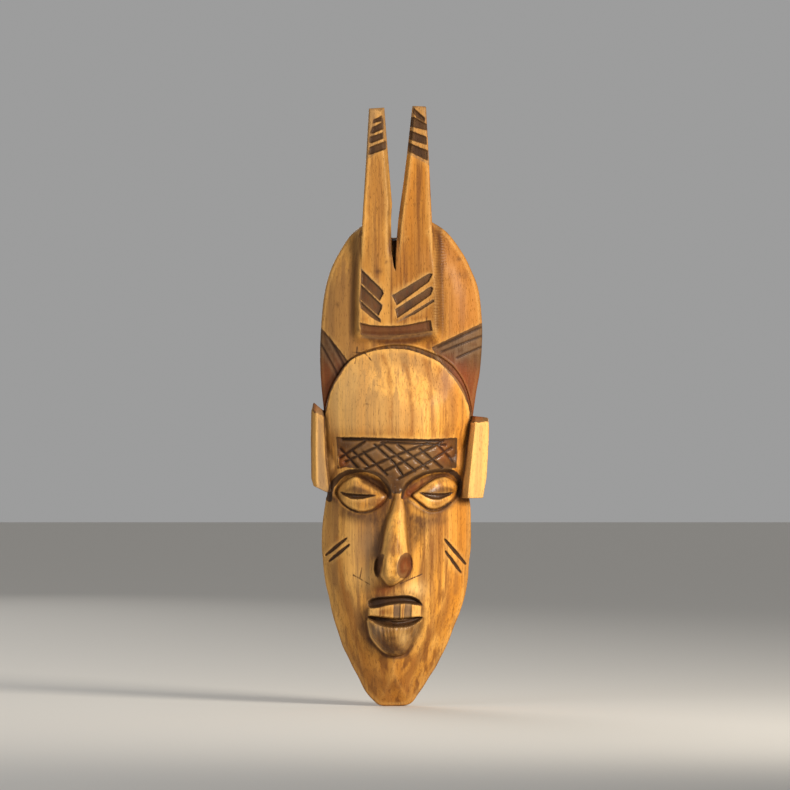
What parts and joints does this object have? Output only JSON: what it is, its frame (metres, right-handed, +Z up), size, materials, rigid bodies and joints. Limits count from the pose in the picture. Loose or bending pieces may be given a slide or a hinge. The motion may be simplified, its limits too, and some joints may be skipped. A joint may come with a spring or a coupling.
{
  "type": "carved wooden wall mask",
  "caption": "Long carved wooden wall mask with two upright horns, side ears and a hollow back, hung from a swinging wire D-ring screwed into a recess.",
  "frame": {"origin": "the wall nail's axis where it meets the wall plane, inside the top of the hanger ring", "axes": "+Z up along the mask's length, +Y back towards the wall, the carved front faces -Y, +X to the viewer's right"},
  "size_m": [0.1189, 0.045, 0.4],
  "materials": {
    "carved_wood": "waxed, hand carved, dark stained in the cuts",
    "strap_steel": "zinc plated, dull",
    "ring_steel": "zinc plated wire",
    "screw_steel": "brass plated, slightly worn"
  },
  "bodies": {
    "mask": {"mask_carving": "carved_wood", "hanger_strap": "strap_steel", "hanger_screw_upper": "screw_steel", "hanger_screw_lower": "screw_steel"},
    "ring": {"hanger_ring": "ring_steel"}
  },
  "joints": [
    {"name": "ring_swing", "type": "hinge", "parent": "mask", "child": "ring", "pos_m": [0, -0.00597, -0.00845], "axis": [-1, 0, 0], "range_deg": [0, 165]}
  ]
}
